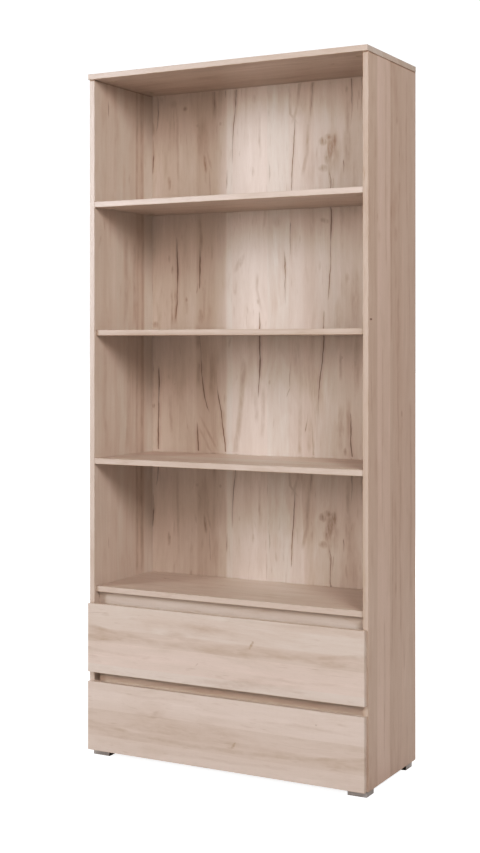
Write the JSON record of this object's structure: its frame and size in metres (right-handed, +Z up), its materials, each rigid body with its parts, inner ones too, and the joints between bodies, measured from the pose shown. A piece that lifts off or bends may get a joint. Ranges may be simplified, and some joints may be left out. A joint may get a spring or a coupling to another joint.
{
  "type": "bookcase with bottom drawers",
  "caption": "Tall open wood-decor bookcase with four compartments above full-width handleless drawers that slide out on telescopic runners, on small corner feet.",
  "frame": {"origin": "centre of the footprint's bounding box, on the floor under the feet", "axes": "+Z up along the height, +X to the right along the width, -Y towards the front; a drawer opens towards -Y"},
  "size_m": [0.882, 0.3544, 1.98],
  "materials": {
    "oak_board": "satin laminated board with pale oak decor",
    "oak_back": "satin printed thin board with pale oak decor",
    "drawer_box": "matt laminated board",
    "runner_steel": "bright zinc-plated steel",
    "cam_zinc": "grey die-cast zinc",
    "foot_silver": "satin silver",
    "foot_black": "matt black",
    "strip_plastic": "matt light plastic"
  },
  "bodies": {
    "carcass": {"back_joining_strip": "strip_plastic", "back_panel_lower": "oak_back", "back_panel_upper": "oak_back", "bottom_panel": "oak_board", "drawer_top_panel": "oak_board", "foot_block_fl": "foot_black", "foot_block_fr": "foot_black", "foot_block_rl": "foot_black", "foot_block_rr": "foot_black", "foot_cover_fl": "foot_silver", "foot_cover_fr": "foot_silver", "foot_cover_rl": "foot_silver", "foot_cover_rr": "foot_silver", "rail_middle": "oak_board", "rail_upper": "oak_board", "runner_lower_left_cabinet": "runner_steel", "runner_lower_right_cabinet": "runner_steel", "runner_upper_left_cabinet": "runner_steel", "runner_upper_right_cabinet": "runner_steel", "shelf_lower": "oak_board", "shelf_middle": "oak_board", "shelf_pin_fl": "cam_zinc", "shelf_pin_fr": "cam_zinc", "shelf_pin_rl": "cam_zinc", "shelf_pin_rr": "cam_zinc", "shelf_upper": "oak_board", "side_panel_left": "oak_board", "side_panel_right": "oak_board", "top_panel": "oak_board"},
    "drawer_lower": {"cam_lock_lower_left_high": "cam_zinc", "cam_lock_lower_left_low": "cam_zinc", "cam_lock_lower_right_high": "cam_zinc", "cam_lock_lower_right_low": "cam_zinc", "drawer_lower_back": "drawer_box", "drawer_lower_bottom": "drawer_box", "drawer_lower_front": "oak_board", "drawer_lower_side_left": "drawer_box", "drawer_lower_side_right": "drawer_box", "runner_lower_left_drawer": "runner_steel", "runner_lower_right_drawer": "runner_steel"},
    "drawer_upper": {"cam_lock_upper_left_high": "cam_zinc", "cam_lock_upper_left_low": "cam_zinc", "cam_lock_upper_right_high": "cam_zinc", "cam_lock_upper_right_low": "cam_zinc", "drawer_upper_back": "drawer_box", "drawer_upper_bottom": "drawer_box", "drawer_upper_front": "oak_board", "drawer_upper_side_left": "drawer_box", "drawer_upper_side_right": "drawer_box", "runner_upper_left_drawer": "runner_steel", "runner_upper_right_drawer": "runner_steel"},
    "runner_member_lower_left": {"runner_lower_left_middle": "runner_steel"},
    "runner_member_lower_right": {"runner_lower_right_middle": "runner_steel"},
    "runner_member_upper_left": {"runner_upper_left_middle": "runner_steel"},
    "runner_member_upper_right": {"runner_upper_right_middle": "runner_steel"}
  },
  "joints": [
    {"name": "drawer_upper_slide", "type": "slide", "parent": "carcass", "child": "drawer_upper", "axis": [0, -1, 0], "range_m": [0, 0.3]},
    {"name": "runner_upper_left_slide", "type": "slide", "parent": "carcass", "child": "runner_member_upper_left", "axis": [0, -1, 0], "range_m": [0, 0.15]},
    {"name": "runner_upper_right_slide", "type": "slide", "parent": "carcass", "child": "runner_member_upper_right", "axis": [0, -1, 0], "range_m": [0, 0.15]},
    {"name": "drawer_lower_slide", "type": "slide", "parent": "carcass", "child": "drawer_lower", "axis": [0, -1, 0], "range_m": [0, 0.3]},
    {"name": "runner_lower_left_slide", "type": "slide", "parent": "carcass", "child": "runner_member_lower_left", "axis": [0, -1, 0], "range_m": [0, 0.15]},
    {"name": "runner_lower_right_slide", "type": "slide", "parent": "carcass", "child": "runner_member_lower_right", "axis": [0, -1, 0], "range_m": [0, 0.15]}
  ],
  "couplings": [
    {"joint": "runner_upper_left_slide", "follows": "drawer_upper_slide", "ratio": 0.5},
    {"joint": "runner_upper_right_slide", "follows": "drawer_upper_slide", "ratio": 0.5},
    {"joint": "runner_lower_left_slide", "follows": "drawer_lower_slide", "ratio": 0.5},
    {"joint": "runner_lower_right_slide", "follows": "drawer_lower_slide", "ratio": 0.5}
  ]
}
